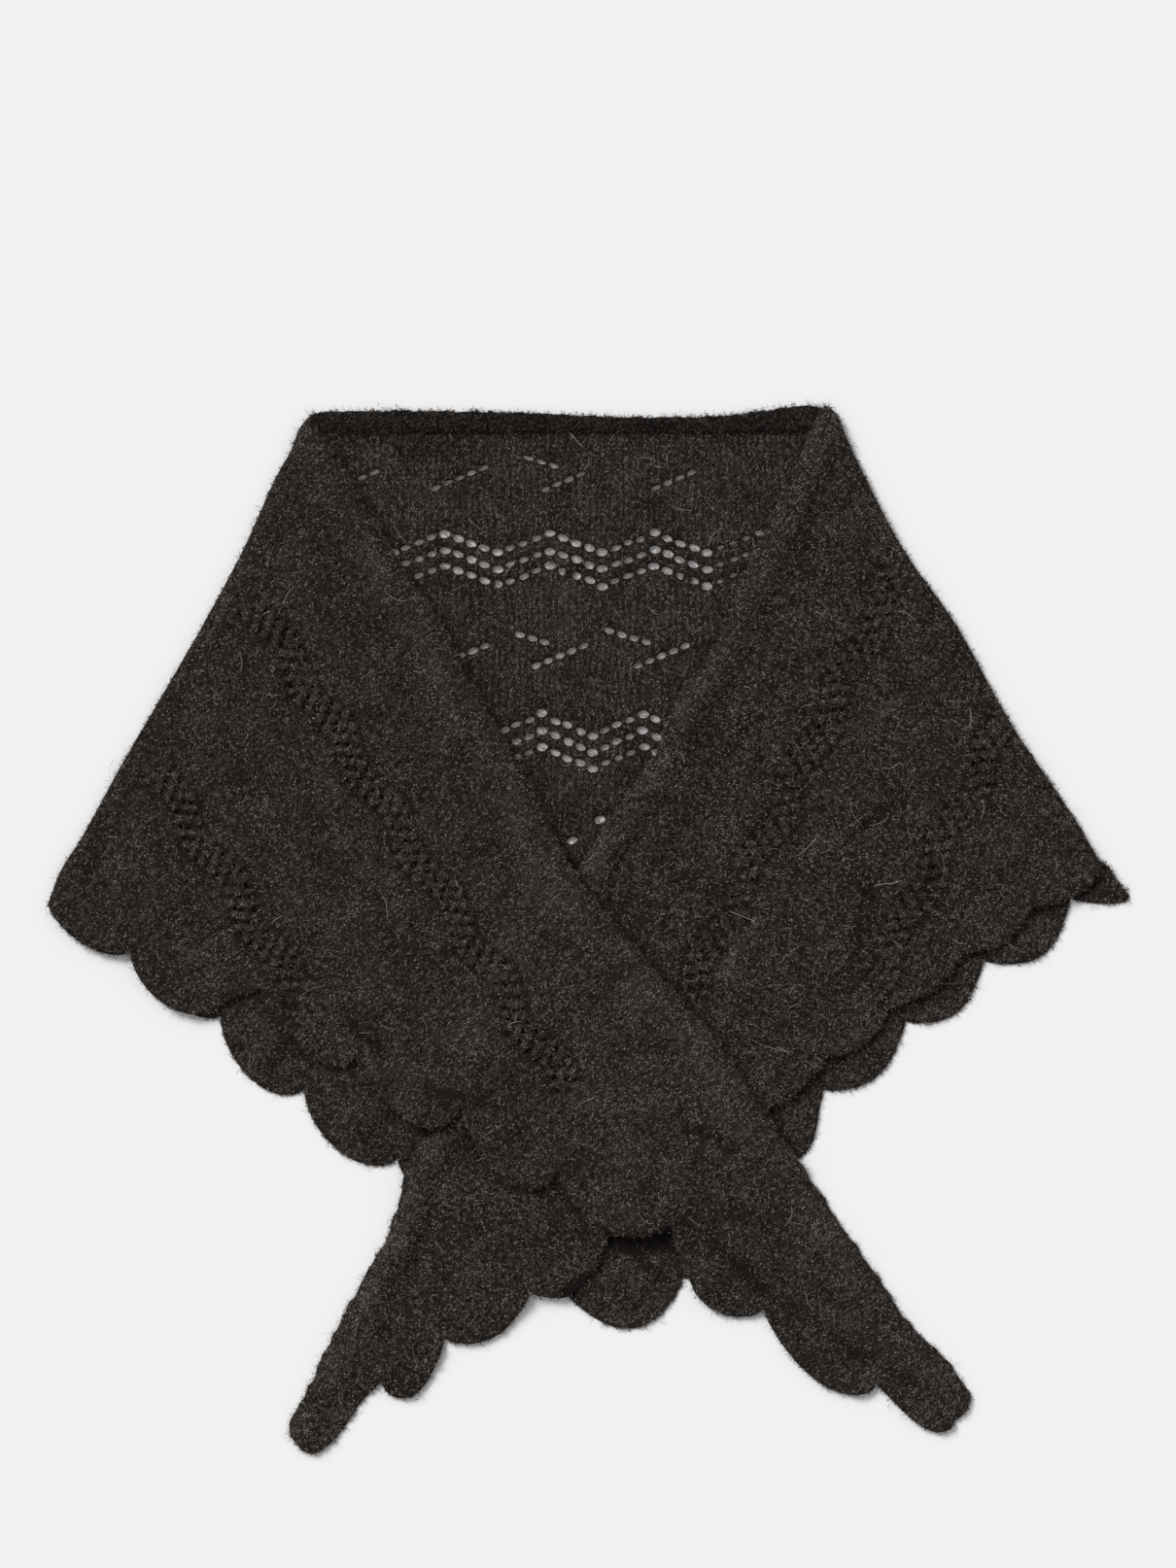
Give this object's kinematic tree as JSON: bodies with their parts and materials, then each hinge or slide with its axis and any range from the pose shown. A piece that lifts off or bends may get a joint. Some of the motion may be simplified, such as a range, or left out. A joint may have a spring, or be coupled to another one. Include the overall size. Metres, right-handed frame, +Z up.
{
  "type": "triangle shawl",
  "caption": "Dark brushed lace-knit triangle shawl with a scalloped edging, laid flat with both wings folded forward and crossed.",
  "frame": {"origin": "on the surface it lies on, under the middle of its bounding box", "axes": "+Z up from the surface, +Y towards the neck edge, +X to the viewer's right seen from above"},
  "size_m": [0.718, 0.701, 0.0153],
  "materials": {
    "ground_knit": "brushed wool knit, matt",
    "edging_knit": "brushed wool knit, matt",
    "rolled_edge_knit": "brushed wool knit, matt"
  },
  "bodies": {
    "root": {"back_panel": "ground_knit", "back_edging": "edging_knit", "neck_band": "rolled_edge_knit", "wing_right": "ground_knit", "wing_right_edging": "edging_knit", "front_band_right": "rolled_edge_knit", "wing_left": "ground_knit", "wing_left_edging": "edging_knit", "front_band_left": "rolled_edge_knit"}
  },
  "joints": []
}
